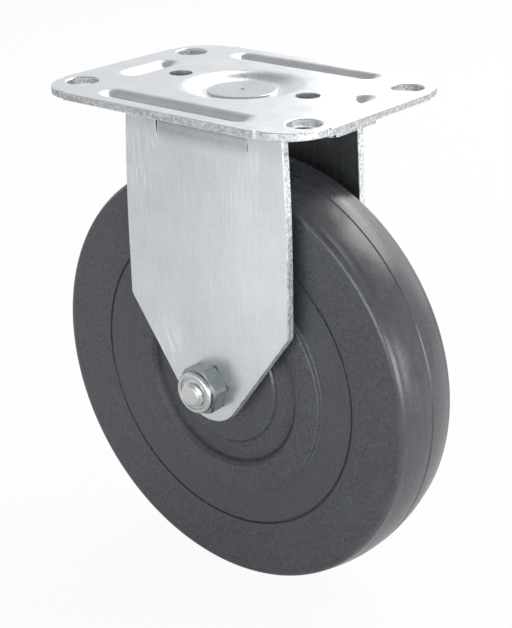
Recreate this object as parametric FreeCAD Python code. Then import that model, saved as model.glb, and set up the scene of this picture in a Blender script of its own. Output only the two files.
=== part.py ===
import FreeCAD, Part
import math
import os

# A fixed castor: a pressed top plate, a folded fork riveted under it, and a moulded rubber wheel.
# Millimetres. The origin is the centre of the plate's top face, between its four bolt holes.
# +X is the rolling direction, +Y runs along the axle towards the bolt's head, and +Z is up.

# Overall sizes
wheel_diameter = 127.0
tread_width = 23.8
wheel_gap = 12.9
leg_clearance = 2.6

# Top plate, set out from its bolt holes
bolt_spacing_x = 76.2
bolt_spacing_y = 44.45
bolt_margin_x = 7.9
bolt_margin_y = 12.675
bolt_hole_diameter = 8.8
bolt_hole_round = 0.5
plate_thickness = 2.1
corner_radius = 12.0
corner_step = 0.8
plate_edge_round = 0.3
pilot_spacing = 44.4
pilot_diameter = 6.6

# Pressed ribs and dish of the plate
press_depth = 2.0
rib_lip_radius = 3.2
rib_floor_radius = 1.6
long_rib_floor = 0.55
long_rib_margin = 7.9
long_rib_length = 43.5
short_rib_floor = 0.6
short_rib_margin = 11.8
short_rib_length = 13.2
dish_bend_radius = 7.7
dish_floor_half_width = 9.9

# Fork
fork_thickness = 2.5
bend_inner_radius = 5.0
bend_half_width = 15.8
relief_width = 0.25
relief_depth = 0.25
shoulder_half_width = 26.9
shoulder_round = 5.0
flare_rise = 38.0
leg_half_width = 28.7
taper_rise = 21.5
taper_round = 3.0
tip_radius = 11.0
tab_reach = 3.8
tab_corner_radius = 2.5
fork_edge_round = 0.3

# Centre rivet
rivet_head_radius = 9.4
rivet_head_thickness = 0.6
rivet_head_round = 0.25
rivet_dot_radius = 0.6
rivet_dot_depth = 0.25
rivet_shank_radius = 6.0
rivet_hole_clearance = 0.05
rivet_tail_radius = 8.6
rivet_tail_thickness = 1.8
rivet_tail_round = 1.2

# Wheel. A recess or a rise is measured from the plane of the tyre's side.
shoulder_radius = 1.9
crown_drop = 1.4
parting_width = 0.9
parting_depth = 0.25
rim_band = 18.5
rim_groove_width = 0.7
rim_groove_depth = 0.4
web_recess = 0.9
ring_rise = 0.3
ring_outer_radius = 34.6
ring_outer_slope = 0.6
ring_inner_radius = 27.0
ring_inner_slope = 1.5
ring_round = 0.35
hub_floor_recess = 1.7
hub_foot_recess = 0.7
boss_radius = 19.2
boss_slope = 0.25

# Hub and roller bearing
sleeve_wall = 0.9
roller_count = 9
roller_radius = 1.5875
roller_end_round = 0.25
race_clearance = 0.05
cage_wall = 1.8
cage_end_play = 0.3
cage_end_width = 1.8
pocket_clearance = 0.1
bushing_wall = 2.25
washer_inset = 0.5
thrust_washer_thickness = 1.0
thrust_washer_clearance = 0.1
thrust_play = 0.15
dust_washer_thickness = 1.6

# Axle bolt and lock nut
bolt_radius = 3.97
bolt_hole_clearance = 0.13
bolt_end_chamfer = 1.0
bolt_end_proud = 1.6
head_across_flats = 12.7
head_height = 5.2
head_turn_degrees = 24.0
nut_across_flats = 12.7
nut_hex_height = 5.3
nut_turn_degrees = 10.0
nut_thread_clearance = 0.03
nut_mouth_clearance = 0.73
insert_wall = 1.2
insert_thickness = 1.4
collar_rise = 1.5
collar_wall = 0.8
collar_lip_thickness = 0.5
collar_round = 0.5
hex_chamfer_degrees = 28.0

# Levels and places worked out from the sizes above
plate_length = bolt_spacing_x + 2 * bolt_margin_x
plate_width = bolt_spacing_y + 2 * bolt_margin_y
long_rib_offset = plate_width / 2 - long_rib_margin
short_rib_offset = plate_length / 2 - short_rib_margin
tab_half_length = short_rib_offset + tab_reach
web_top = -(press_depth + plate_thickness)
web_under = web_top - fork_thickness
wheel_radius = wheel_diameter / 2
axle_level = web_under - wheel_gap - wheel_radius
bend_outer_radius = bend_inner_radius + fork_thickness
bend_level = web_top - bend_outer_radius
side_level = tread_width / 2
ring_level = side_level + ring_rise
leg_inner = ring_level + leg_clearance
leg_outer = leg_inner + fork_thickness
bend_centre = leg_outer - bend_outer_radius
taper_level = axle_level + taper_rise
flare_level = axle_level + flare_rise
axle_hole_radius = bolt_radius + bolt_hole_clearance
bushing_radius = axle_hole_radius + bushing_wall
roller_pitch_radius = bushing_radius + race_clearance + roller_radius
sleeve_inner_radius = roller_pitch_radius + roller_radius + race_clearance
sleeve_outer_radius = sleeve_inner_radius + sleeve_wall
washer_radius = sleeve_outer_radius - washer_inset
dust_washer_inner = leg_inner - dust_washer_thickness
sleeve_end = dust_washer_inner - thrust_washer_thickness - 2 * thrust_play
cage_end = sleeve_end - cage_end_play
pocket_end = cage_end - cage_end_width
roller_end = pocket_end - pocket_clearance
nut_face = leg_outer + nut_hex_height + collar_rise
bolt_end = nut_face + bolt_end_proud
nut_bore_radius = bolt_radius + nut_thread_clearance
insert_radius = nut_bore_radius + insert_wall
collar_radius = insert_radius + collar_wall

axis_x = FreeCAD.Vector(1, 0, 0)
axis_y = FreeCAD.Vector(0, 1, 0)
axis_z = FreeCAD.Vector(0, 0, 1)
axle_point = FreeCAD.Vector(0, 0, axle_level)


def in_plan(point):
    return FreeCAD.Vector(point[0], point[1], 0)


def in_side_view(point):
    return FreeCAD.Vector(point[0], 0, point[1])


def in_end_view(point):
    return FreeCAD.Vector(0, point[0], point[1])


def about_axle(point):
    """Radius from the axle and place along it."""
    return FreeCAD.Vector(point[0], point[1], axle_level)


def outline_face(start, steps, place):
    """A face inside a closed outline. A step is a line's end point, or an arc's middle and end points."""
    edges = []
    here = start
    for step in steps:
        if isinstance(step[0], tuple):
            middle, end = step
            edges.append(Part.Arc(place(here), place(middle), place(end)).toShape())
        else:
            end = step
            edges.append(Part.LineSegment(place(here), place(end)).toShape())
        here = end
    if place(here).distanceToPoint(place(start)) > 1e-7:
        edges.append(Part.LineSegment(place(here), place(start)).toShape())
    return Part.Face(Part.Wire(edges))


def mirrored_half(half):
    """An outline's right half run backwards on the left side."""
    ends = [step[1] if isinstance(step[0], tuple) else step for step in half]
    back = []
    for index in range(len(half) - 1, 0, -1):
        before = (-ends[index - 1][0], ends[index - 1][1])
        step = half[index]
        if isinstance(step[0], tuple):
            middle = (-step[0][0], step[0][1])
            back.append((middle, before))
        else:
            back.append(before)
    return back


def opposite(steps):
    """The same steps turned half a turn about the origin."""
    turned = []
    for step in steps:
        if isinstance(step[0], tuple):
            middle, end = step
            turned.append(((-middle[0], -middle[1]), (-end[0], -end[1])))
        else:
            turned.append((-step[0], -step[1]))
    return turned


def on_circle(centre, radius, angle):
    return (centre[0] + radius * math.cos(angle), centre[1] + radius * math.sin(angle))


def ring_about_axle(inner, outer, start, end):
    """A plain tube on the axle's line between two places along it."""
    base = FreeCAD.Vector(0, start, axle_level)
    tube = Part.makeCylinder(outer, end - start, base, axis_y)
    return tube.cut(Part.makeCylinder(inner, end - start, base, axis_y))


def edges_at(shape, places, across):
    """Edges that run along Y through the given side-view places, on both sides of the middle."""
    found = []
    for edge in shape.Edges:
        box = edge.BoundBox
        if box.YLength < across / 2 or box.XLength > 1e-6 or box.ZLength > 1e-6:
            continue
        if any(abs(abs(box.XMin) - x) < 1e-6 and abs(box.ZMin - z) < 1e-6 for x, z in places):
            found.append(edge)
    return found


def pressing_profile(floor, lip_radius, floor_radius, depth, close_at):
    """Half a pressing's section as a closed outline. The sheet bends down over a lip and onto a floor."""
    run = math.sqrt(2 * depth * (lip_radius + floor_radius) - depth ** 2)
    turn = 2 * math.atan2(depth, run)
    upward = math.pi / 2
    floor_centre = (floor, floor_radius - depth)
    lip_centre = (floor + run, -lip_radius)
    rise = (on_circle(floor_centre, floor_radius, turn / 2 - upward),
            on_circle(floor_centre, floor_radius, turn - upward))
    flatten = (on_circle(lip_centre, lip_radius, upward + turn / 2),
               on_circle(lip_centre, lip_radius, upward))
    return (0, close_at), [(0, -depth), (floor, -depth), rise, flatten, (floor + run, close_at)]


def round_pressing(profile):
    face = outline_face(profile[0], profile[1], in_side_view)
    return face.revolve(FreeCAD.Vector(0, 0, 0), axis_z, 360)


def long_pressing(profile, length):
    """A straight pressing along X with round ends, centred on the origin."""
    half = outline_face(profile[0], profile[1], in_end_view)
    half.translate(FreeCAD.Vector(-length / 2, 0, 0))
    side = half.extrude(FreeCAD.Vector(length, 0, 0))
    other = side.mirror(FreeCAD.Vector(0, 0, 0), axis_y)
    near_end = round_pressing(profile)
    near_end.translate(FreeCAD.Vector(-length / 2, 0, 0))
    far_end = round_pressing(profile)
    far_end.translate(FreeCAD.Vector(length / 2, 0, 0))
    return side.multiFuse([other, near_end, far_end]).removeSplitter()


def pressings(profiles):
    """The two long ribs, the two short ones and the dish, as cavities or as the bulges under them."""
    made = [round_pressing(profiles["dish"])]
    for side in (-1, 1):
        long_rib = long_pressing(profiles["long_rib"], long_rib_length)
        long_rib.translate(FreeCAD.Vector(0, side * long_rib_offset, 0))
        short_rib = long_pressing(profiles["short_rib"], short_rib_length)
        short_rib.rotate(FreeCAD.Vector(0, 0, 0), axis_z, 90)
        short_rib.translate(FreeCAD.Vector(side * short_rib_offset, 0, 0))
        made += [long_rib, short_rib]
    return made


def cavities():
    above = plate_thickness
    floors = {"long_rib": long_rib_floor, "short_rib": short_rib_floor}
    profiles = {name: pressing_profile(floor, rib_lip_radius, rib_floor_radius, press_depth, above)
                for name, floor in floors.items()}
    profiles["dish"] = pressing_profile(dish_floor_half_width, dish_bend_radius, dish_bend_radius,
                                        press_depth, above)
    return pressings(profiles)


def bulges():
    """The same pressings seen from below, one sheet thickness further down."""
    above = plate_thickness / 2
    under_lip = rib_lip_radius - plate_thickness
    under_floor = rib_floor_radius + plate_thickness
    floors = {"long_rib": long_rib_floor, "short_rib": short_rib_floor}
    profiles = {name: pressing_profile(floor, under_lip, under_floor, press_depth, above)
                for name, floor in floors.items()}
    profiles["dish"] = pressing_profile(dish_floor_half_width, dish_bend_radius - plate_thickness,
                                        dish_bend_radius + plate_thickness, press_depth, above)
    made = pressings(profiles)
    for bulge in made:
        bulge.translate(FreeCAD.Vector(0, 0, -plate_thickness))
    return made


def stepped_corner():
    """The plate's corner at +X and +Y. It is cut a little inside both sides, which leaves small steps."""
    half_step = corner_step / 2
    centre = (plate_length / 2 - corner_step - corner_radius, plate_width / 2 - corner_step - corner_radius)
    side = (plate_length / 2 - half_step, centre[1] - corner_step)
    top = (centre[0] - corner_step, plate_width / 2 - half_step)
    eighth = math.pi / 4
    return [on_circle(side, half_step, 0),
            (on_circle(side, half_step, eighth), on_circle(side, half_step, 2 * eighth)),
            (on_circle((side[0], centre[1]), half_step, -3 * eighth), (side[0] - half_step, centre[1])),
            (on_circle(centre, corner_radius, eighth), (centre[0], top[1] - half_step)),
            (on_circle((centre[0], top[1]), half_step, -3 * eighth), (top[0] + half_step, top[1])),
            (on_circle(top, half_step, eighth), (top[0], top[1] + half_step))]


def plate_blank():
    """The flat plate with its rims a little rounded."""
    corner = stepped_corner()
    top_end = corner[-1][1]
    upper = corner + [(-top_end[0], top_end[1])] + mirrored_half(corner)
    outline = upper + opposite(upper)
    face = outline_face(outline[0], outline[1:], in_plan)
    blank = face.extrude(FreeCAD.Vector(0, 0, -plate_thickness))
    rims = [edge for edge in blank.Edges if edge.BoundBox.ZLength < 1e-6]
    return blank.makeFillet(plate_edge_round, rims)


def hole(x, y, radius):
    depth = press_depth + plate_thickness + fork_thickness + rivet_tail_thickness
    return Part.makeCylinder(radius, 3 * depth, FreeCAD.Vector(x, y, -2 * depth))


def bolt_holes():
    """Four holes whose upper rims are rounded over by the punch."""
    radius = bolt_hole_diameter / 2
    centre = (radius + bolt_hole_round, -bolt_hole_round)
    lip = on_circle(centre, bolt_hole_round, 3 * math.pi / 4)
    steps = [(radius, -2 * plate_thickness), (radius, centre[1]), (lip, (centre[0], 0)),
             (centre[0], plate_thickness), (0, plate_thickness)]
    face = outline_face((0, -2 * plate_thickness), steps, in_side_view)
    punch = face.revolve(FreeCAD.Vector(0, 0, 0), axis_z, 360)
    punches = []
    for sx in (-1, 1):
        for sy in (-1, 1):
            placed = punch.copy()
            placed.translate(FreeCAD.Vector(sx * bolt_spacing_x / 2, sy * bolt_spacing_y / 2, 0))
            punches.append(placed)
    return punches


def top_plate():
    removed = cavities() + bolt_holes()
    removed += [hole(side * pilot_spacing / 2, 0, pilot_diameter / 2) for side in (-1, 1)]
    removed.append(hole(0, 0, rivet_shank_radius + rivet_hole_clearance))
    pressed = plate_blank().multiFuse(bulges())
    for tool in removed:
        pressed = pressed.cut(tool)
    return pressed.removeSplitter()


def fork_web():
    """The flat middle of the fork, with a tab under each short rib of the plate."""
    corner_x = tab_half_length - tab_corner_radius
    corner_y = bend_centre - tab_corner_radius
    points = []
    for sx, sy in ((1, 1), (-1, 1), (-1, -1), (1, -1)):
        centre = (sx * corner_x, sy * corner_y)
        side = (sx * tab_half_length, sy * corner_y)
        end = (sx * corner_x, sy * bend_centre)
        middle = on_circle(centre, tab_corner_radius, math.atan2(sy, sx))
        points += [side, (middle, end)] if sx * sy > 0 else [end, (middle, side)]
    face = outline_face(points[0], points[1:], in_plan)
    face.translate(FreeCAD.Vector(0, 0, web_under))
    return face.extrude(FreeCAD.Vector(0, 0, fork_thickness))


def fork_bend():
    """The quarter bend between the web and the leg on the +Y side."""
    centre = (bend_centre, bend_level)
    start = on_circle(centre, bend_inner_radius, 0)
    outer_middle = on_circle(centre, bend_outer_radius, math.pi / 4)
    inner_middle = on_circle(centre, bend_inner_radius, math.pi / 4)
    steps = [on_circle(centre, bend_outer_radius, 0),
             (outer_middle, on_circle(centre, bend_outer_radius, math.pi / 2)),
             on_circle(centre, bend_inner_radius, math.pi / 2), (inner_middle, start)]
    face = outline_face(start, steps, in_end_view)
    face.translate(FreeCAD.Vector(-bend_half_width, 0, 0))
    return face.extrude(FreeCAD.Vector(2 * bend_half_width, 0, 0))


def leg_half_outline():
    """The right half of a leg's outline, from its relief slot over the shoulder down to the tip."""
    relief_floor = bend_level - relief_depth
    relief_centre = (bend_half_width + relief_width / 2, relief_floor)
    relief_outer = bend_half_width + relief_width
    flare_length = -plate_thickness - flare_level
    flare_width = leg_half_width - shoulder_half_width
    flare_radius = (flare_length ** 2 + flare_width ** 2) / (2 * flare_width)
    flare_centre = (leg_half_width - flare_radius, flare_level)
    flare_angle = math.asin(flare_length / flare_radius)
    reach = math.hypot(leg_half_width, taper_rise)
    tangent_angle = math.atan2(taper_rise, leg_half_width) - math.acos(tip_radius / reach)
    tangent = on_circle((0, axle_level), tip_radius, tangent_angle)
    tip = (0, axle_level - tip_radius)
    tip_middle = on_circle((0, axle_level), tip_radius, (tangent_angle - math.pi / 2) / 2)
    return [(bend_half_width, bend_level), (bend_half_width, relief_floor),
            (on_circle(relief_centre, relief_width / 2, -math.pi / 2), (relief_outer, relief_floor)),
            (relief_outer, -plate_thickness), (shoulder_half_width, -plate_thickness),
            (on_circle(flare_centre, flare_radius, flare_angle / 2), (leg_half_width, flare_level)),
            (leg_half_width, taper_level), tangent, (tip_middle, tip)]


def leg_rims(leg):
    """A leg's rims, which go from one shoulder down round the tip to the other, clear of the relief slots."""
    relief_outer = bend_half_width + relief_width
    relief_end = bend_level - relief_depth - relief_width
    rims = []
    for edge in leg.Edges:
        box = edge.BoundBox
        beside = max(abs(box.XMin), abs(box.XMax)) > relief_outer + 1e-6
        if box.YLength < 1e-6 and (beside or box.ZMax < relief_end):
            rims.append(edge)
    return rims


def fork_leg():
    """The leg on the +Y side, with its shoulders standing up beside the bend."""
    half = leg_half_outline()
    face = outline_face(half[0], half[1:] + mirrored_half(half), in_side_view)
    face.translate(FreeCAD.Vector(0, leg_inner, 0))
    leg = face.extrude(FreeCAD.Vector(0, fork_thickness, 0))
    shoulder = [(shoulder_half_width, -plate_thickness)]
    leg = leg.makeFillet(shoulder_round, edges_at(leg, shoulder, fork_thickness))
    leg = leg.makeFillet(taper_round, edges_at(leg, [(leg_half_width, taper_level)], fork_thickness))
    leg = leg.makeFillet(fork_edge_round, leg_rims(leg))
    base = FreeCAD.Vector(0, leg_inner - fork_thickness, axle_level)
    return leg.cut(Part.makeCylinder(axle_hole_radius, 3 * fork_thickness, base, axis_y))


def fork():
    half = fork_bend().fuse(fork_leg())
    other = half.mirror(FreeCAD.Vector(0, 0, 0), axis_y)
    folded = fork_web().multiFuse([half, other]).removeSplitter()
    holes = [hole(sx * pilot_spacing / 2, 0, pilot_diameter / 2) for sx in (-1, 1)]
    holes.append(hole(0, 0, rivet_shank_radius + rivet_hole_clearance))
    return folded.cut(holes)


def centre_rivet():
    """A flat head in the plate's dish, a shank through plate and web, and an upset tail."""
    head_top = rivet_head_thickness - press_depth
    tail_end = web_under - rivet_tail_thickness
    head_corner = (rivet_head_radius - rivet_head_round, head_top - rivet_head_round)
    tail_corner = (rivet_tail_radius - rivet_tail_round, tail_end + rivet_tail_round)
    start = (0, head_top - rivet_dot_depth)
    steps = [(rivet_dot_radius, head_top), (head_corner[0], head_top),
             (on_circle(head_corner, rivet_head_round, math.pi / 4), (rivet_head_radius, head_corner[1])),
             (rivet_head_radius, -press_depth), (rivet_shank_radius, -press_depth),
             (rivet_shank_radius, web_under), (rivet_tail_radius, web_under), (rivet_tail_radius, tail_corner[1]),
             (on_circle(tail_corner, rivet_tail_round, -math.pi / 4), (tail_corner[0], tail_end)), (0, tail_end)]
    face = outline_face(start, steps, in_side_view)
    return face.revolve(FreeCAD.Vector(0, 0, 0), axis_z, 360)


def wheel_half_section():
    """Half of the wheel's section, from the bore's middle to the middle of the tread."""
    shoulder_centre = (wheel_radius - crown_drop - shoulder_radius, side_level - shoulder_radius)
    shoulder_top = (wheel_radius - crown_drop, side_level - shoulder_radius)
    parting_edge = parting_width / 2
    crown_run = shoulder_top[1] - parting_edge
    crown_radius = (crown_run ** 2 + crown_drop ** 2) / (2 * crown_drop)
    crown_centre = (wheel_radius - crown_radius, parting_edge)
    crown_angle = math.asin(crown_run / crown_radius)
    rim_inner_radius = wheel_radius - rim_band
    groove_inner = rim_inner_radius - rim_groove_width / 2
    groove_outer = rim_inner_radius + rim_groove_width / 2
    web_level = side_level - web_recess
    return [(sleeve_outer_radius, 0), (sleeve_outer_radius, side_level),
            (boss_radius - boss_slope, side_level), (boss_radius, side_level - hub_foot_recess),
            (ring_inner_radius - ring_inner_slope, side_level - hub_floor_recess),
            (ring_inner_radius, ring_level), (ring_outer_radius, ring_level),
            (ring_outer_radius + ring_outer_slope, web_level),
            (groove_inner, web_level), (rim_inner_radius, web_level - rim_groove_depth),
            (groove_outer, web_level), (shoulder_centre[0], side_level),
            (on_circle(shoulder_centre, shoulder_radius, math.pi / 4), shoulder_top),
            (on_circle(crown_centre, crown_radius, crown_angle / 2), (wheel_radius, parting_edge)),
            (wheel_radius - parting_depth, 0)]


def circles_at(shape, places):
    """Circular edges about the axle with the given radius and place along it."""
    found = []
    for edge in shape.Edges:
        box = edge.BoundBox
        if box.YLength < 1e-6 and any(abs(box.XMax - r) < 1e-4 and abs(box.YMin - y) < 1e-6 for r, y in places):
            found.append(edge)
    return found


def wheel():
    section = wheel_half_section()
    face = outline_face(section[0], section[1:], about_axle)
    half = face.revolve(axle_point, axis_y, 360)
    crests = [(ring_inner_radius, ring_level), (ring_outer_radius, ring_level),
              (boss_radius - boss_slope, side_level)]
    half = half.makeFillet(ring_round, circles_at(half, crests))
    return half.fuse(half.mirror(FreeCAD.Vector(0, 0, 0), axis_y)).removeSplitter()


def hub_sleeve():
    return ring_about_axle(sleeve_inner_radius, sleeve_outer_radius, -sleeve_end, sleeve_end)


def roller_places():
    turn = 2 * math.pi / roller_count
    return [on_circle((0, axle_level), roller_pitch_radius, math.pi / 2 + turn * k) for k in range(roller_count)]


def roller(place):
    base = FreeCAD.Vector(place[0], -roller_end, place[1])
    bar = Part.makeCylinder(roller_radius, 2 * roller_end, base, axis_y)
    rims = [edge for edge in bar.Edges if edge.BoundBox.YLength < 1e-6]
    return bar.makeFillet(roller_end_round, rims)


def roller_cage():
    """A tube between bushing and sleeve, with one window for each roller."""
    inner = roller_pitch_radius - cage_wall / 2
    cage = ring_about_axle(inner, inner + cage_wall, -cage_end, cage_end)
    width = 2 * (roller_radius + pocket_clearance)
    windows = []
    for place in roller_places():
        window = Part.makeBox(width, 2 * pocket_end, 2 * cage_wall)
        window.translate(FreeCAD.Vector(-width / 2, -pocket_end, -cage_wall))
        angle = math.degrees(math.atan2(place[0], place[1] - axle_level))
        window.rotate(FreeCAD.Vector(0, 0, 0), axis_y, angle)
        window.translate(FreeCAD.Vector(place[0], 0, place[1]))
        windows.append(window)
    return cage.cut(windows)


def spanner_bushing():
    return ring_about_axle(axle_hole_radius, bushing_radius, -dust_washer_inner, dust_washer_inner)


def thrust_washer(side):
    start = sleeve_end + thrust_play
    bore = bushing_radius + thrust_washer_clearance
    washer = ring_about_axle(bore, washer_radius, start, start + thrust_washer_thickness)
    return washer if side > 0 else washer.mirror(FreeCAD.Vector(0, 0, 0), axis_y)


def dust_washer(side):
    washer = ring_about_axle(axle_hole_radius, washer_radius, dust_washer_inner, leg_inner)
    return washer if side > 0 else washer.mirror(FreeCAD.Vector(0, 0, 0), axis_y)


def hexagon(across_flats, turn_degrees, start, end):
    """A hexagonal bar along the axle. Its turn is how far one corner lies above the rolling direction."""
    radius = across_flats / math.sqrt(3)
    turn = math.radians(turn_degrees)
    corners = [on_circle((0, axle_level), radius, turn + k * math.pi / 3) for k in range(6)]
    face = outline_face(corners[0], corners[1:], in_side_view)
    face.translate(FreeCAD.Vector(0, start, 0))
    return face.extrude(FreeCAD.Vector(0, end - start, 0))


def corner_cone(across_flats, face_at, height, outward):
    """The turned envelope that chamfers a hexagon's corners on the side it faces."""
    flat_radius = across_flats / 2
    spread = math.tan(math.radians(hex_chamfer_degrees))
    wide = flat_radius + height / spread
    base = FreeCAD.Vector(0, face_at - outward * height, axle_level)
    return Part.makeCone(wide, flat_radius, height, base, axis_y * outward)


def axle_bolt():
    """Hexagon head on the +Y side, with the plain shank's end chamfered at the nut."""
    head = hexagon(head_across_flats, head_turn_degrees, leg_outer, leg_outer + head_height)
    head = head.common(corner_cone(head_across_flats, leg_outer + head_height, head_height, 1))
    length = leg_outer + bolt_end
    shank = Part.makeCylinder(bolt_radius, length - bolt_end_chamfer,
                              FreeCAD.Vector(0, bolt_end_chamfer - bolt_end, axle_level), axis_y)
    point = Part.makeCone(bolt_radius - bolt_end_chamfer, bolt_radius, bolt_end_chamfer,
                          FreeCAD.Vector(0, -bolt_end, axle_level), axis_y)
    return head.multiFuse([shank, point]).removeSplitter()


def lock_nut():
    """A hexagon chamfered on both faces, with a thin round collar whose lip is rolled in over the insert."""
    hex_face = leg_outer + nut_hex_height
    body = hexagon(nut_across_flats, nut_turn_degrees, -hex_face, -leg_outer)
    body = body.common(corner_cone(nut_across_flats, -hex_face, nut_hex_height, -1))
    body = body.common(corner_cone(nut_across_flats, -leg_outer, nut_hex_height, 1))
    collar = Part.makeCylinder(collar_radius, nut_face - leg_outer,
                               FreeCAD.Vector(0, -leg_outer, axle_level), axis_y * -1)
    rim = [edge for edge in collar.Edges if edge.BoundBox.YMax < -nut_face + 1e-6]
    collar = collar.makeFillet(collar_round, rim)
    seat = -nut_face + collar_lip_thickness
    bores = [Part.makeCylinder(nut_bore_radius, nut_face - leg_outer,
                               FreeCAD.Vector(0, -leg_outer, axle_level), axis_y * -1),
             Part.makeCylinder(bolt_radius + nut_mouth_clearance, collar_lip_thickness,
                               FreeCAD.Vector(0, seat, axle_level), axis_y * -1),
             Part.makeCylinder(insert_radius, insert_thickness, FreeCAD.Vector(0, seat, axle_level), axis_y)]
    return body.fuse(collar).cut(bores)


def nylon_insert():
    seat = -nut_face + collar_lip_thickness
    return ring_about_axle(nut_bore_radius, insert_radius, seat, seat + insert_thickness)


def parts():
    made = {"top_plate": top_plate(), "fork": fork(), "centre_rivet": centre_rivet(), "wheel": wheel(),
            "hub_sleeve": hub_sleeve(), "roller_cage": roller_cage(), "spanner_bushing": spanner_bushing(),
            "thrust_washer_nut_side": thrust_washer(-1), "thrust_washer_head_side": thrust_washer(1),
            "dust_washer_nut_side": dust_washer(-1), "dust_washer_head_side": dust_washer(1),
            "axle_bolt": axle_bolt(), "lock_nut": lock_nut(), "nylon_insert": nylon_insert()}
    for number, place in enumerate(roller_places(), start=1):
        made["roller_" + str(number)] = roller(place)
    return made


os.makedirs("parts", exist_ok=True)
for name, shape in parts().items():
    print(name, shape.ShapeType, len(shape.Solids), round(shape.Volume, 1), shape.isValid())
    shape.exportStep("parts/" + name + ".step")
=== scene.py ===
import math

import bpy
from mathutils import Matrix, Vector


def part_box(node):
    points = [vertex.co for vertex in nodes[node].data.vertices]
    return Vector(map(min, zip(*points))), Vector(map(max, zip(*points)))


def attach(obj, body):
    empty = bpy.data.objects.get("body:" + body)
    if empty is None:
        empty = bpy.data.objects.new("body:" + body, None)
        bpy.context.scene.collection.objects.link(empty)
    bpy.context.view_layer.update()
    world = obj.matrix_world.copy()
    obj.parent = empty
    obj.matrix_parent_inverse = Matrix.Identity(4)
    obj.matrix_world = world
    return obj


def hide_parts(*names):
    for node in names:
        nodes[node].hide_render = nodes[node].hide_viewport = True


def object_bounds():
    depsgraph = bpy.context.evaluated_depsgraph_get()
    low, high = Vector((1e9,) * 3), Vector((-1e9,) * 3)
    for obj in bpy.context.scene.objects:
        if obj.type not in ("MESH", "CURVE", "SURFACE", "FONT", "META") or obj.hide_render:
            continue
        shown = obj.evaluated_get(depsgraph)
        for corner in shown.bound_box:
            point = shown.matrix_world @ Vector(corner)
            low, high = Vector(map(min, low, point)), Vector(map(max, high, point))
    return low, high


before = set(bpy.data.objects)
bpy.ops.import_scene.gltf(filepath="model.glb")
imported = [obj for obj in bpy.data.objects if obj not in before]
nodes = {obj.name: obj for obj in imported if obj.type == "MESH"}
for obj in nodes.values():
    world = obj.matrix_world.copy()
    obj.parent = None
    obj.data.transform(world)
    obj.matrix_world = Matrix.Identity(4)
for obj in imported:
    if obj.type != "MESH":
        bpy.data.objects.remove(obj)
cad_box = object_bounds()
axle = sum(corner.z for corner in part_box("wheel")) / 2

# The view. The castor is seen from its nut side and a little from above, with the plate's long side running
# away to the right. The distance and the shifts are in wheel radii, the focal length in picture pixels.
wheel_radius = 0.0635
distance, shift_right, shift_down = 6.32081, -0.03587, 0.2325
azimuth, elevation, roll = math.radians(39.9312), math.radians(22.99479), math.radians(-1.09001)
focal_pixels, picture_pixels, sensor_mm = 1377.93231, 628, 36
towards_camera = Vector((math.sin(azimuth) * math.cos(elevation),
                         -math.cos(azimuth) * math.cos(elevation), math.sin(elevation)))
level_right = (-towards_camera).cross(Vector((0, 0, 1))).normalized()
level_up = level_right.cross(-towards_camera)
view_right = level_right * math.cos(roll) + level_up * math.sin(roll)
view_up = level_up * math.cos(roll) - level_right * math.sin(roll)
offset = towards_camera * distance - view_right * shift_right + view_up * shift_down
bpy.ops.object.camera_add(location=Vector((0, 0, axle)) + offset * wheel_radius,
                          rotation=Matrix((view_right, view_up, towards_camera)).transposed().to_euler())
camera = bpy.context.object
camera.data.sensor_width = sensor_mm
camera.data.lens = focal_pixels / picture_pixels * sensor_mm
camera.data.clip_start = 0.01
bpy.context.scene.camera = camera
bpy.context.scene.view_settings.view_transform = "Standard"


# The room: a pale floor just under the wheel and a white surround that dims overhead. Two wide lamps
# hang behind the castor, one stands on the tread's side, and a low one faces the leg and the nut.
class Wire:
    """A shader node's output. Sums, products and comparisons of wires add their own Math nodes."""

    def __init__(self, finish, socket):
        self.finish = finish
        self.socket = socket

    def math(self, operation, *values):
        return self.finish.add("ShaderNodeMath", {"operation": operation}, dict(enumerate((self,) + values)))

    def __add__(self, other):
        return self.math("ADD", other)

    def __sub__(self, other):
        return self.math("SUBTRACT", other)

    def __rsub__(self, other):
        return self.finish.add("ShaderNodeMath", {"operation": "SUBTRACT"}, {0: other, 1: self})

    def __mul__(self, other):
        return self.math("MULTIPLY", other)

    def __gt__(self, other):
        return self.math("GREATER_THAN", other)

    def __lt__(self, other):
        return self.math("LESS_THAN", other)

    def __abs__(self):
        return self.math("ABSOLUTE")

    __radd__ = __add__
    __rmul__ = __mul__


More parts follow.
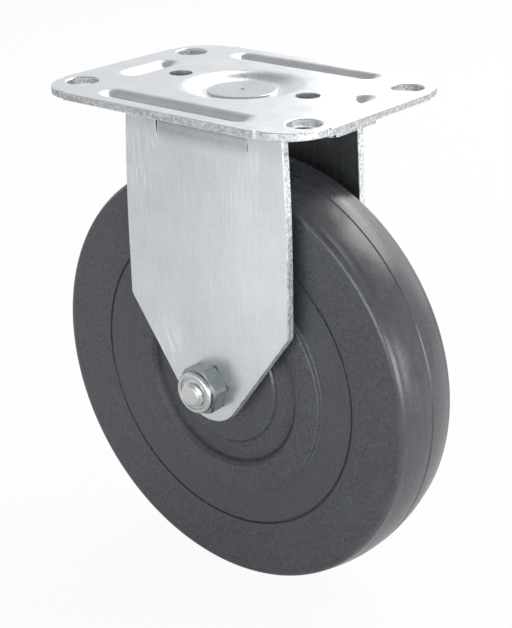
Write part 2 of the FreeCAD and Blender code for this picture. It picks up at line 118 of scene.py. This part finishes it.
class Finish:
    """The node tree of a material or a world, which grows by one node at a time."""

    def __init__(self, owner):
        owner.use_nodes = True
        self.owner = owner
        self.tree = owner.node_tree
        self.tree.nodes.clear()

    def add(self, kind, settings=None, sockets=None, output=0):
        """Adds a node with its settings and its sockets' values or wires, and gives one of its outputs."""
        node = self.tree.nodes.new(kind)
        for name, value in (settings or {}).items():
            setattr(node, name, value)
        for name, value in (sockets or {}).items():
            if isinstance(value, Wire):
                self.tree.links.new(value.socket, node.inputs[name])
            else:
                node.inputs[name].default_value = value
        return Wire(self, node.outputs[output]) if len(node.outputs) else None

    def part(self, vector, axis):
        """One of the three parts of a vector."""
        return self.add("ShaderNodeSeparateXYZ", None, {0: vector}, output=axis)

    def vector(self, operation, *values):
        """Vector maths on wires or on plain triples."""
        return self.add("ShaderNodeVectorMath", {"operation": operation}, dict(enumerate(values)))

    def length(self, vector):
        return self.add("ShaderNodeVectorMath", {"operation": "LENGTH"}, {0: vector}, output="Value")

    def tint(self, colour, tone):
        """A colour made lighter or darker. A tone of 1 leaves it as it is."""
        return self.add("ShaderNodeVectorMath", {"operation": "SCALE"}, {0: colour, "Scale": tone})

    def noise(self, place, size_mm, detail=2.0, roughness=0.5):
        """Noise from 0 to 1 whose grain is about size_mm wide, or one size for each of X, Y and Z."""
        sizes = size_mm if isinstance(size_mm, tuple) else (size_mm,) * 3
        stretched = self.add("ShaderNodeMapping", None,
                             {"Vector": place, "Scale": [1000 / size for size in sizes]})
        return self.add("ShaderNodeTexNoise", None,
                        {"Vector": stretched, "Scale": 1.0, "Detail": detail, "Roughness": roughness})

    def ramp(self, value, low, high, to_low=0.0, to_high=1.0):
        """Runs smoothly from to_low to to_high while the value goes from low to high."""
        return self.add("ShaderNodeMapRange", {"interpolation_type": "SMOOTHSTEP"},
                        {"Value": value, "From Min": low, "From Max": high,
                         "To Min": to_low, "To Max": to_high})

    def surface(self, sockets):
        """Ends a material's tree with its shader and gives the material back."""
        shader = self.add("ShaderNodeBsdfPrincipled", None, sockets)
        self.add("ShaderNodeOutputMaterial", None, {"Surface": shader})
        return self.owner


def lamp(name, place, aim, width, height, watts, colour):
    bpy.ops.object.light_add(type="AREA", location=place)
    light = bpy.context.object
    light.name = name
    light.rotation_euler = (Vector(aim) - Vector(place)).to_track_quat("-Z", "Y").to_euler()
    light.data.shape = "RECTANGLE"
    light.data.size = width
    light.data.size_y = height
    light.data.energy = watts
    light.data.color = colour
    light.visible_camera = False


white, cool_white = (1, 1, 1, 1), (0.95, 0.97, 1, 1)
wall_below, wall_overhead, glow_on_matt = 0.86, 0.40, 0.45
surround = Finish(bpy.context.scene.world or bpy.data.worlds.new("surround"))
bpy.context.scene.world = surround.owner
is_camera = surround.add("ShaderNodeLightPath", output="Is Camera Ray")
is_glossy = surround.add("ShaderNodeLightPath", output="Is Glossy Ray")
height = surround.part(surround.add("ShaderNodeTexCoord", output="Generated"), "Z")
dims_from, dims_to = 0.28, 0.72
dimmed = surround.ramp(height, dims_from, dims_to, wall_below, wall_overhead)
white_wall = surround.add("ShaderNodeBackground", None, {"Color": white, "Strength": 1.0})
mirrored_wall = surround.add("ShaderNodeBackground", None, {"Color": cool_white, "Strength": dimmed})
room_glow = surround.add("ShaderNodeBackground", None, {"Color": cool_white, "Strength": glow_on_matt})
unseen = surround.add("ShaderNodeMixShader", None, {0: is_glossy, 1: room_glow, 2: mirrored_wall})
wall = surround.add("ShaderNodeMixShader", None, {0: is_camera, 1: unseen, 2: white_wall})
surround.add("ShaderNodeOutputWorld", None, {"Surface": wall})

floor_side, floor_gap = 6, 0.0003
bpy.ops.mesh.primitive_plane_add(size=floor_side, location=(0, 0, cad_box[0].z - floor_gap))
floor = bpy.context.object
floor.name = "floor"
paper = Finish(bpy.data.materials.new("white_paper"))
is_camera = paper.add("ShaderNodeLightPath", output="Is Camera Ray")
is_glossy = paper.add("ShaderNodeLightPath", output="Is Glossy Ray")
matt = paper.add("ShaderNodeBsdfPrincipled", None, {"Base Color": (0.80, 0.80, 0.80, 1), "Roughness": 0.9})
bright = paper.add("ShaderNodeEmission", None, {"Color": white, "Strength": 1.0})
bright_seen, bright_mirrored = 0.93, 0.15
bright_share = is_camera * bright_seen + is_glossy * bright_mirrored
faded = paper.add("ShaderNodeMixShader", None, {0: bright_share, 1: matt, 2: bright})
paper.add("ShaderNodeOutputMaterial", None, {"Surface": faded})
floor.data.materials.append(paper.owner)

lamp("key_lamp", place=(0.02, 0.68, 0.57), aim=(0.02, 0, -0.03), width=0.96, height=0.51,
     watts=6.3, colour=(1, 0.97, 0.93))
lamp("back_wall_lamp", place=(-0.14, 1.0, 0.18), aim=(-0.14, 0, -0.03), width=1.1, height=0.5,
     watts=1.4, colour=(1, 1, 1))
lamp("tread_lamp", place=(0.80, -0.12, -0.02), aim=(0, 0, -0.06), width=0.9, height=0.30,
     watts=4.6, colour=(0.97, 0.98, 1))
lamp("leg_lamp", place=(0.15, -0.95, 0.02), aim=(-0.05, 0, -0.10), width=0.8, height=0.3,
     watts=3.0, colour=(0.95, 0.98, 1))


# The top plate is pressed from zinc-plated sheet: bright and smooth on its faces, with fine marks from
# rolling and handling. Its sheared edges and punched holes are duller, with a painted highlight on the burr
# underneath.
def zinc(name, lines, colour, roughness, line_tone=0.10, line_depth=0.25, cloud=0.08,
         shear=None, tear=(1.0, 2.2, -0.46), marks=()):
    """Zinc plate. Lines gives the grain's size in millimetres along X, Y and Z, line_tone and line_depth its
    strength in tone and relief, and cloud the strength of wider clouds. Shear is a function that gives the
    masks of the sheared edge and of the painted light on its burr or rims, tear the edge's grain in
    millimetres, its contrast and its tone, and marks hold functions for lighter or darker marks."""
    cloud_mm, cloud_rough, line_rough = 9.0, 0.16, 0.14
    speckle_mm, speckle_tone, speckle_rough, speckle_depth = 0.5, 0.18, 0.03, 0.6
    painted_rim_tone, edge_rough, edge_depth = 0.30, 0.26, 3.0
    metal = Finish(bpy.data.materials.new(name))
    place = metal.add("ShaderNodeTexCoord", output="Object")
    grain = metal.noise(place, lines, 3.0, 0.6)
    clouds = metal.noise(place, cloud_mm, 4.0, 0.55)
    speckle = metal.noise(place, speckle_mm, 2.0, 0.7)
    tone = (clouds - 0.5) * (cloud * 2) + (grain - 0.5) * (line_tone * 2)
    tone = tone + (speckle - 0.5) * speckle_tone + 1.0
    rough = (clouds - 0.5) * cloud_rough + (grain - 0.5) * line_rough
    rough = rough + (speckle - 0.5) * speckle_rough + roughness
    relief = grain + speckle * speckle_depth
    for mark in marks:
        tone = tone + mark(metal, place)
    if shear:
        tear_mm, tear_contrast, tear_tone = tear
        # The shear's second mask carries painted light: a painted highlight on the plate's burr, and on the
        # fork painted highlights on the rims' flats and painted shade on their rounding.
        edge, burr = shear(metal, place)
        torn = metal.noise(place, tear_mm, 3.0, 0.75)
        tone = tone + edge * ((torn - 0.5) * tear_contrast + tear_tone) + burr * painted_rim_tone
        rough = rough + edge * edge_rough
        relief = relief + edge * torn * edge_depth
    bump = metal.add("ShaderNodeBump", None, {"Height": relief, "Strength": line_depth, "Distance": 0.00002})
    return metal.surface({"Base Color": metal.tint(colour, tone), "Metallic": 1.0, "Roughness": rough,
                          "Normal": bump})


def dress(material, *names):
    """Gives CAD pieces their material."""
    for name in names:
        nodes[name].data.materials.clear()
        nodes[name].data.materials.append(material)


def plate_shear(metal, place):
    """The plate's upright walls are sheared or punched. The burr is their lowest quarter millimetre, and gets
    a painted highlight.
    """
    burr_low, burr_high = -0.00195, -0.00170
    upright = abs(metal.part(metal.add("ShaderNodeNewGeometry", output="Normal"), "Z"))
    edge = metal.ramp(upright, 0.25, 0.6, 1.0, 0.0)
    return edge, edge * metal.ramp(metal.part(place, "Z"), burr_low, burr_high, 1.0, 0.0)


plate_zinc = zinc("plate_zinc", (9, 0.5, 0.5), (0.81, 0.825, 0.84), 0.295,
                  shear=plate_shear, tear=(0.8, 1.4, -0.34))
dress(plate_zinc, "top_plate")


# The fork is one strip of the same sheet, folded twice. Its legs carry upright rolling lines and patches of
# rubbed scratches, with patches of painted light and shade. Its rims are sheared rough, with painted
# highlights on their flats and painted shade on their rounding, and its bends carry painted shade below the
# plate.
def fork_shear(metal, place):
    """The strip's rims face neither along the axle nor along its bends. Their flats get a painted highlight
    and their rounding painted shade, both strongest low down. How far they turn sideways tells the two apart:
    it is 0 on a rim's flat and 1 on the strip's own faces."""
    bend_end, painted_fade_low, painted_fade_high = -0.013, -0.045, -0.014
    flat_highlight, flat_highlight_loss_high_up, rounding_shade = 1.1, 0.4, 1.3
    facing = metal.add("ShaderNodeNewGeometry", output="Normal")
    below_bend = metal.part(place, "Z") < bend_end
    rim = below_bend.math("MAXIMUM", abs(metal.part(facing, "X")) > 0.5)
    sideways = abs(metal.part(facing, "Y"))
    edge = rim * metal.ramp(sideways, 0.6, 0.97, 1.0, 0.0)
    rounding = metal.ramp(sideways, 0.3, 0.6) - metal.ramp(sideways, 0.95, 0.99)
    high_up = metal.ramp(metal.part(place, "Z"), painted_fade_low, painted_fade_high)
    flat = rim * metal.ramp(sideways, 0.3, 0.6, 1.0, 0.0)
    flat_painted_highlight = flat * (flat_highlight - high_up * flat_highlight_loss_high_up)
    return edge, flat_painted_highlight + rim * rounding * (high_up - rounding_shade)


def away_from(metal, place, centre, reach):
    """How far a point of the leg lies from a mark's centre, where 1 is the edge of its reach. Centre and
    reach are in millimetres along X and Z."""
    moved = metal.vector("SUBTRACT", place, (centre[0] / 1000, 0, centre[1] / 1000))
    return metal.length(metal.vector("MULTIPLY", moved, (1000 / reach[0], 0, 1000 / reach[1])))


def painted_light_patch(centre, reach, strength):
    """A soft lighter patch of painted light."""
    def mark(metal, place):
        return metal.ramp(away_from(metal, place, centre, reach), 0.1, 1.0, strength, 0.0)
    return mark


def rubbed(centre, reach, turn_degrees, strength):
    """A patch of fine light scratches, turned from upright."""
    def mark(metal, place):
        patch = metal.ramp(away_from(metal, place, centre, reach), 0.3, 1.0, strength, 0.0)
        turned = metal.add("ShaderNodeMapping", None,
                           {"Vector": place, "Rotation": (0, math.radians(turn_degrees), 0)})
        lines = metal.noise(turned, (0.30, 20, 11), 2.0, 0.6)
        return patch * metal.ramp(lines, 0.50, 0.66)
    return mark


def painted_inside_shade(metal, place):
    """Painted shade on the faces between the legs."""
    inside_legs = 0.0155
    between = abs(metal.part(place, "Y")) < inside_legs
    facing = abs(metal.part(metal.add("ShaderNodeNewGeometry", output="Normal"), "Y")) > 0.5
    return between * facing * -0.4


def painted_bend_shade(metal, place):
    """Painted shade on the outside of the bend below the plate, strongest between the slits."""
    bend_low, bend_high, slit_near, slit_far = -0.0150, -0.0085, 0.0150, 0.0162
    bent = metal.ramp(metal.part(place, "Z"), bend_low, bend_high)
    return bent * metal.ramp(abs(metal.part(place, "X")), slit_near, slit_far, -0.45, -0.16)


# Painted light among the leg's marks: the two small rubbed patches beside the slits are painted highlights,
# the paler patch towards +X is painted light, and the bend and inside marks are painted shade. The other
# rubbed patches are scratches.
leg_marks = (rubbed((-24, -18), (9, 22), 0, 0.30), rubbed((-15, -72), (9, 12), 24, 0.28),
             rubbed((14, -24), (9, 12), 0, 0.22), rubbed((2, -40), (26, 34), 0, 0.08),
             painted_light_patch((30, -40), (42, 80), 0.20), rubbed((17.5, -14), (3, 6), 0, 0.55),
             rubbed((-17, -12), (4, 6), 8, 0.45), painted_bend_shade, painted_inside_shade)
fork_zinc = zinc("fork_zinc", (0.30, 0.30, 16), (0.765, 0.79, 0.80), 0.30,
                 line_tone=0.09, line_depth=0.15, shear=fork_shear, marks=leg_marks)
dress(fork_zinc, "fork")


# The centre rivet's flat head lies in the plate's dish and holds the plate and the fork together. It is
# softer steel, dulled by the hammer.
def painted_dimple_shade(metal, place):
    """Painted shade in the small dimple in the middle of the head."""
    dimple, dimple_edge = 0.0006, 0.0010
    far = metal.length(metal.vector("MULTIPLY", place, (1, 1, 0)))
    return metal.ramp(far, dimple, dimple_edge, -0.80, 0.0)


rivet_zinc = zinc("rivet_zinc", (1.2, 1.2, 1.2), (0.61, 0.625, 0.64), 0.30, line_tone=0.04, marks=(painted_dimple_shade,))
dress(rivet_zinc, "centre_rivet")


# The wheel is one moulding of hard black rubber. Its faces carry turned rings from the mould: a boss round
# the bore, a raised ring outside it, a fine groove, and a rim that rises to a rounded, crowned tread.
def draw_profile(name, points):
    """Starts a piece as one vertex and extrudes it along a line of points."""
    bpy.ops.object.select_all(action="DESELECT")
    bpy.ops.mesh.primitive_plane_add(size=0.001, location=points[0])
    piece = bpy.context.object
    piece.name = name
    bpy.ops.object.transform_apply(location=True)
    bpy.ops.object.mode_set(mode="EDIT")
    bpy.ops.mesh.select_all(action="SELECT")
    bpy.ops.mesh.merge(type="CENTER")
    for here, there in zip(points, points[1:]):
        step = [there[k] - here[k] for k in range(3)]
        bpy.ops.mesh.extrude_region_move(TRANSFORM_OT_translate={"value": step})
    return piece


def select_places(piece, places):
    """Leaves only the vertices at the given places selected."""
    reach = 2e-5
    bpy.ops.mesh.select_mode(type="VERT")
    bpy.ops.mesh.select_all(action="DESELECT")
    bpy.ops.object.mode_set(mode="OBJECT")
    for vertex in piece.data.vertices:
        vertex.select = any((vertex.co - Vector(place)).length < reach for place in places)
    bpy.ops.object.mode_set(mode="EDIT")


def soften_corners(piece, corners, radius):
    """Rounds the profile's corners that lie at the given places."""
    select_places(piece, corners)
    bpy.ops.mesh.bevel(offset=radius, offset_type="OFFSET", segments=3, affect="VERTICES")


def spin_about_axle(piece, steps):
    """Turns the profile once round the axle and closes it."""
    bpy.ops.mesh.select_all(action="SELECT")
    bpy.ops.mesh.spin(steps=steps, angle=2 * math.pi, center=(0, 0, axle), axis=(0, 1, 0))
    bpy.ops.mesh.select_all(action="SELECT")
    bpy.ops.mesh.remove_doubles(threshold=1e-6)
    bpy.ops.mesh.normals_make_consistent(inside=False)
    bpy.ops.object.mode_set(mode="OBJECT")
    bpy.ops.object.shade_smooth_by_angle(angle=math.radians(32))
    piece.select_set(False)


def on_section(radius_mm, along_mm):
    """A place above the axle, from its radius and its place along the axle."""
    return (0.0, along_mm / 1000, axle + radius_mm / 1000)


def on_both_sides(*corners):
    return [on_section(radius_mm, along_mm * side) for radius_mm, along_mm in corners for side in (-1, 1)]


def arc(centre, radius, start_degrees, end_degrees, steps):
    """Section points on an arc. Its angle starts at the outward radius and rises along the axle."""
    turn_step = (end_degrees - start_degrees) / steps
    turns = [math.radians(start_degrees + turn_step * k) for k in range(steps + 1)]
    return [(centre[0] + radius * math.cos(turn), centre[1] + radius * math.sin(turn)) for turn in turns]


bore_mm, tread_mm, corner_mm = 10.525, 63.5, 1.9
boss_edge, boss_foot, floor_edge = (18.95, 11.9), (19.2, 11.2), (25.5, 10.2)
ring_inner, ring_outer, ring_foot = (27.0, 12.2), (34.6, 12.2), (35.2, 11.0)
fine_groove = [(44.6, 11.0), (44.8, 10.62), (45.2, 10.62), (45.4, 11.02)]
shoulder = (60.2, 10.0)
line_half_mm, line_deep_mm, line_floor_mm = 0.45, 0.25, 0.12
half_section = [(bore_mm, boss_edge[1]), boss_edge, boss_foot, floor_edge, ring_inner, ring_outer]
half_section += [ring_foot] + fine_groove + arc(shoulder, corner_mm, 90, 0, 9)
crown_run, crown_drop = shoulder[1] - line_half_mm, 1.4
crown_radius = (crown_run ** 2 + crown_drop ** 2) / (2 * crown_drop)
crown_turn = math.degrees(math.asin(crown_run / crown_radius))
half_section += arc((tread_mm - crown_radius, line_half_mm), crown_radius, crown_turn, 0, 8)[1:]
half_section += [(tread_mm - line_deep_mm, line_floor_mm)]
section = [on_section(r, y) for r, y in half_section]
section += [on_section(r, -y) for r, y in reversed(half_section)]
wheel = draw_profile("rubber_wheel", section)
ring_corners = on_both_sides(boss_edge, boss_foot, floor_edge, ring_inner, ring_outer, ring_foot)
soften_corners(wheel, ring_corners, radius=0.00022)
select_places(wheel, (section[0], section[-1]))
bpy.ops.mesh.edge_face_add()
spin_about_axle(wheel, steps=256)

rubber = Finish(bpy.data.materials.new("hard_rubber"))
place = rubber.add("ShaderNodeTexCoord", output="Object")
radius = rubber.length(rubber.vector("MULTIPLY_ADD", place, (1, 0, 1), (0, 0, -axle)))


def turned_line(radius_mm, full_mm, gone_mm, strength=1.0):
    """A ring on the wheel that fades out on both sides of its radius."""
    return rubber.ramp(abs(radius - radius_mm / 1000), full_mm / 1000, gone_mm / 1000, strength, 0.0)


# Painted shade darkens the groove and the feet of the rings, and their edges are polished smoother and get a
# painted highlight.
groove_mm, slope_mm = 45.0, (ring_outer[0] + ring_foot[0]) / 2
painted_crease_shade = turned_line(floor_edge[0] + 0.1, 0.25, 0.65, 0.82) + turned_line(boss_foot[0] + 0.3, 0.1, 0.4, 0.65)
painted_crease_shade = painted_crease_shade + turned_line(groove_mm, 0.2, 0.5, 0.55)
slope_edges = (1 - turned_line(slope_mm, 0.14, 0.26)) * turned_line(slope_mm, 0.3, 0.45)
polish_and_painted_highlight = turned_line(boss_edge[0] + 0.05, 0.1, 0.4) + slope_edges
worn_from, worn_all = 0.0592, 0.0606
worn = rubber.ramp(radius, worn_from, worn_all)
dust = rubber.noise(place, 14.0, 5.0, 0.6)
grit = rubber.noise(place, 1.0, 2.0, 0.7)
fine = rubber.noise(place, 0.5, 1.0)
smear = rubber.noise(place, (9, 2.2, 9), 3.0, 0.6)
grain = ((grit - 0.5) * 1.1 + (fine - 0.5) * 1.5) * (1 - worn * 0.6)
tone = (dust - 0.5) * 0.30 + grain + worn * (smear - 0.5) * 0.9 + polish_and_painted_highlight * 0.35 + 1.0 - painted_crease_shade
rough = (dust - 0.5) * 0.14 + (grit - 0.5) * 0.14 + worn * ((smear - 0.5) * 0.30 - 0.25) + 0.52
rough = rough - polish_and_painted_highlight * 0.22 + turned_line(slope_mm, 0.12, 0.24) * 0.3
bump = rubber.add("ShaderNodeBump", None,
                  {"Height": grit + fine * 0.5, "Strength": 0.45, "Distance": 0.00006})
black_rubber = rubber.surface({"Base Color": rubber.tint((0.050, 0.053, 0.059), tone), "Roughness": rough,
                               "Specular IOR Level": 0.7, "Normal": bump})
wheel.data.materials.append(black_rubber)
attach(wheel, "wheel")
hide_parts("wheel")


# The axle bolt runs through the fork's legs. Its hexagon head is on the far side, and its rolled thread
# ends in a turned point that stands a little out of the nut. It is steel, zinc-plated.
def turned_bar(name, points):
    """A solid turned round the axle from a profile that starts and ends on its line."""
    piece = draw_profile(name, [on_section(r, y) for r, y in points])
    spin_about_axle(piece, steps=96)
    return piece


def hexagon_bar(name, across_mm, turn_degrees, start_mm, end_mm):
    """A hexagonal bar along the axle with slightly rounded edges, turned from the rolling direction."""
    bpy.ops.object.select_all(action="DESELECT")
    bpy.ops.mesh.primitive_cylinder_add(
        vertices=6, radius=across_mm / math.sqrt(3) / 1000, depth=abs(end_mm - start_mm) / 1000,
        location=(0, (start_mm + end_mm) / 2000, axle),
        rotation=(math.pi / 2, math.radians(30 - turn_degrees), 0))
    piece = bpy.context.object
    piece.name = name
    bpy.ops.object.transform_apply(location=True, rotation=True, scale=True)
    bpy.ops.object.modifier_add(type="BEVEL")
    modifier = piece.modifiers[-1]
    modifier.width = 0.00018
    modifier.segments = 2
    modifier.limit_method = "ANGLE"
    modifier.angle_limit = math.radians(40)
    bpy.ops.object.modifier_apply(modifier=modifier.name)
    return piece


def combine(piece, operation, tool):
    """Joins, cuts or crops a piece with another solid, which is used up."""
    bpy.ops.object.select_all(action="DESELECT")
    bpy.context.view_layer.objects.active = piece
    bpy.ops.object.modifier_add(type="BOOLEAN")
    modifier = piece.modifiers[-1]
    modifier.operation = operation
    modifier.solver = "EXACT"
    modifier.object = tool
    bpy.ops.object.modifier_apply(modifier=modifier.name)
    tool.select_set(True)
    bpy.ops.object.delete()


def finish_edges(piece, smooth_degrees):
    """Merges what the cuts left double and smooths the round faces."""
    bpy.ops.object.select_all(action="DESELECT")
    bpy.context.view_layer.objects.active = piece
    piece.select_set(True)
    bpy.ops.object.mode_set(mode="EDIT")
    bpy.ops.mesh.select_all(action="SELECT")
    bpy.ops.mesh.remove_doubles(threshold=2e-6)
    bpy.ops.object.mode_set(mode="OBJECT")
    bpy.ops.object.shade_smooth_by_angle(angle=math.radians(smooth_degrees))
    piece.select_set(False)


def screw_thread(name, outer_mm, root_mm, pitch_mm, start_mm, turns):
    """A threaded bar: one tooth's profile wound along the axle and closed at both ends."""
    tooth = ((root_mm, 0), (root_mm, 0.14), (outer_mm, 0.44),
             (outer_mm, 0.56), (root_mm, 0.86), (root_mm, 1.0))
    piece = draw_profile(name, [(0.0, share * pitch_mm / 1000, r / 1000) for r, share in tooth])
    bpy.ops.object.mode_set(mode="OBJECT")
    bpy.ops.object.modifier_add(type="SCREW")
    modifier = piece.modifiers[-1]
    modifier.axis = "Y"
    modifier.screw_offset = pitch_mm / 1000
    modifier.iterations = turns
    modifier.steps = modifier.render_steps = 56
    bpy.ops.object.modifier_apply(modifier=modifier.name)
    bpy.ops.object.mode_set(mode="EDIT")
    bpy.ops.mesh.select_all(action="SELECT")
    bpy.ops.mesh.remove_doubles(threshold=1e-6)
    bpy.ops.mesh.fill_holes(sides=0)
    bpy.ops.mesh.select_all(action="SELECT")
    bpy.ops.mesh.normals_make_consistent(inside=False)
    bpy.ops.object.mode_set(mode="OBJECT")
    piece.location = (0, start_mm / 1000, axle)
    bpy.ops.object.transform_apply(location=True)
    return piece


end_mm, head_mm = (corner.y * 1000 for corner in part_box("axle_bolt"))
leg_mm, across_flats_mm, spare_mm, overlap_mm = 17.3, 12.7, 0.3, 0.5
bolt_mm, thread_mm, runout_mm = 3.97, 11.0, 3.6
crest_mm, root_mm, pitch_mm, thread_turns, lead_mm = 3.93, 3.2, 1.411, 10, 2.6
point_mm, point_round_mm, point_long_mm = 2.75, 0.25, 1.25
thread_end_mm = end_mm + thread_mm
bolt_thread = screw_thread("bolt_thread", crest_mm, root_mm, pitch_mm, end_mm - lead_mm, thread_turns)
point = turned_bar("bolt_point", [(0, end_mm)]
                   + arc((point_mm, end_mm + point_round_mm), point_round_mm, -90, -45, 2)
                   + [(bolt_mm, end_mm + point_long_mm), (bolt_mm, thread_end_mm), (0, thread_end_mm)])
combine(bolt_thread, "INTERSECT", point)
head_flat_mm, head_corner_mm, head_chamfer_mm, head_turn = 6.2, 8.0, 0.95, 24
dish_mm, dish_floor_mm, dish_deep_mm = 5.4, 5.1, 0.22
bolt = hexagon_bar("hex_axle_bolt", across_flats_mm, head_turn, leg_mm - spare_mm, head_mm + spare_mm)
crop = turned_bar("head_crop", [(0, leg_mm), (head_corner_mm, leg_mm),
                                (head_corner_mm, head_mm - head_chamfer_mm),
                                (head_flat_mm, head_mm), (dish_mm, head_mm),
                                (dish_floor_mm, head_mm - dish_deep_mm), (0, head_mm - dish_deep_mm)])
combine(bolt, "INTERSECT", crop)
shank = turned_bar("bolt_shank", [(0, thread_end_mm - overlap_mm), (runout_mm, thread_end_mm - overlap_mm),
                                  (bolt_mm, thread_end_mm), (bolt_mm, leg_mm + overlap_mm),
                                  (0, leg_mm + overlap_mm)])
combine(bolt, "UNION", shank)
combine(bolt, "UNION", bolt_thread)
finish_edges(bolt, smooth_degrees=28)

bolt_zinc = zinc("bolt_zinc", (1.4, 1.4, 0.25), (0.74, 0.74, 0.73), 0.27, line_tone=0.12, line_depth=0.35)
bolt.data.materials.append(bolt_zinc)
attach(bolt, "bracket")
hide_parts("axle_bolt")


# The lock nut is a chamfered hexagon with a thin collar, whose lip is rolled in over a nylon ring.
# Its plating is darker than the fork's and brightens where the lip was rolled.
face_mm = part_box("lock_nut")[0].y * 1000
shoulder_mm = face_mm + 1.5
nut_flat_mm, nut_corner_mm, nut_chamfer_mm, nut_turn = 6.3, 8.2, 1.05, 10
collar_mm, straight_mm, lip_round_mm = 6.15, 1.2, 0.9
tapped_mm, mouth_mm, mouth_deep_mm = 4.0, 4.7, 0.7
seat_mm, seat_floor_mm, seat_top_mm = 5.2, 1.9, 0.5
lip_mm, lip_in_mm, lip_out_mm, flare_mm, flare_start_mm, clear_mm = 4.72, 0.45, 0.25, 5.0, -0.05, 1
nut = hexagon_bar("hex_lock_nut", across_flats_mm, nut_turn, -leg_mm + spare_mm, shoulder_mm - spare_mm)
crop = turned_bar("nut_crop", [(0, -leg_mm), (nut_flat_mm, -leg_mm),
                               (nut_corner_mm, -leg_mm - nut_chamfer_mm),
                               (nut_corner_mm, shoulder_mm + nut_chamfer_mm),
                               (nut_flat_mm, shoulder_mm), (0, shoulder_mm)])
combine(nut, "INTERSECT", crop)
collar = turned_bar("nut_collar", [(0, shoulder_mm + clear_mm), (collar_mm, shoulder_mm + clear_mm),
                                   (collar_mm, face_mm + straight_mm)]
                    + arc((collar_mm - lip_round_mm, face_mm + lip_round_mm), lip_round_mm, 10, -90, 8)
                    + [(0, face_mm)])
combine(nut, "UNION", collar)
bore = turned_bar("nut_bore", [(0, -leg_mm + clear_mm), (mouth_mm, -leg_mm + clear_mm), (mouth_mm, -leg_mm),
                               (tapped_mm, -leg_mm - mouth_deep_mm), (tapped_mm, face_mm + seat_floor_mm),
                               (seat_mm, face_mm + seat_floor_mm), (seat_mm, face_mm + seat_top_mm),
                               (lip_mm, face_mm + lip_in_mm), (lip_mm, face_mm + lip_out_mm),
                               (flare_mm, face_mm + flare_start_mm), (flare_mm, face_mm - clear_mm),
                               (0, face_mm - clear_mm)])
combine(nut, "DIFFERENCE", bore)
finish_edges(nut, smooth_degrees=26)


def rolled_lip(metal, place):
    """The last millimetre of the collar, rubbed bright by the rolling tool."""
    bright_end, dull_start = face_mm / 1000 + 0.0004, face_mm / 1000 + 0.0012
    return metal.ramp(metal.part(place, "Y"), bright_end, dull_start, 1.0, 0.0)


nut_zinc = zinc("nut_zinc", (1.2, 0.35, 1.2), (0.33, 0.35, 0.35), 0.28,
                line_tone=0.2, line_depth=0.3, cloud=0.3, marks=(rolled_lip,))
nut.data.materials.append(nut_zinc)
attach(nut, "bracket")
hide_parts("lock_nut")


# Inside the hub a pressed-in sleeve turns on rollers in a cage, round a bushing that the bolt clamps
# between the legs, with a steel and a nylon washer at each end. The steel has a film of oil.
hub_zinc = zinc("hub_zinc", (0.6, 0.6, 0.6), (0.22, 0.22, 0.215), 0.42)
dress(hub_zinc, "dust_washer_nut_side", "dust_washer_head_side", "hub_sleeve", "spanner_bushing")
bearing_steel = zinc("bearing_steel", (0.4, 4, 0.4), (0.56, 0.57, 0.58), 0.30)
dress(bearing_steel, "roller_cage", *["roller_" + str(k) for k in range(1, 10)])


# The nut's ring and the two thrust washers are nylon, milky and a little see-through, painted a darker grey
# than natural nylon as painted shade for the ring's recess in the nut's mouth. The nut's rolled lip holds the
# ring, and the washers lie loose at the ends of the sleeve.
nylon = Finish(bpy.data.materials.new("nylon_painted_darker"))
haze = nylon.noise(nylon.add("ShaderNodeTexCoord", output="Object"), 1.7, 3.0)
nylon_with_painted_shade = nylon.surface({"Base Color": nylon.tint((0.52, 0.53, 0.51), (haze - 0.5) * 0.16 + 1.0),
                       "Roughness": (haze - 0.5) * 0.2 + 0.42,
                       "Subsurface Weight": 0.15, "Subsurface Scale": 0.001})
dress(nylon_with_painted_shade, "nylon_insert", "thrust_washer_nut_side", "thrust_washer_head_side")

bpy.context.view_layer.update()
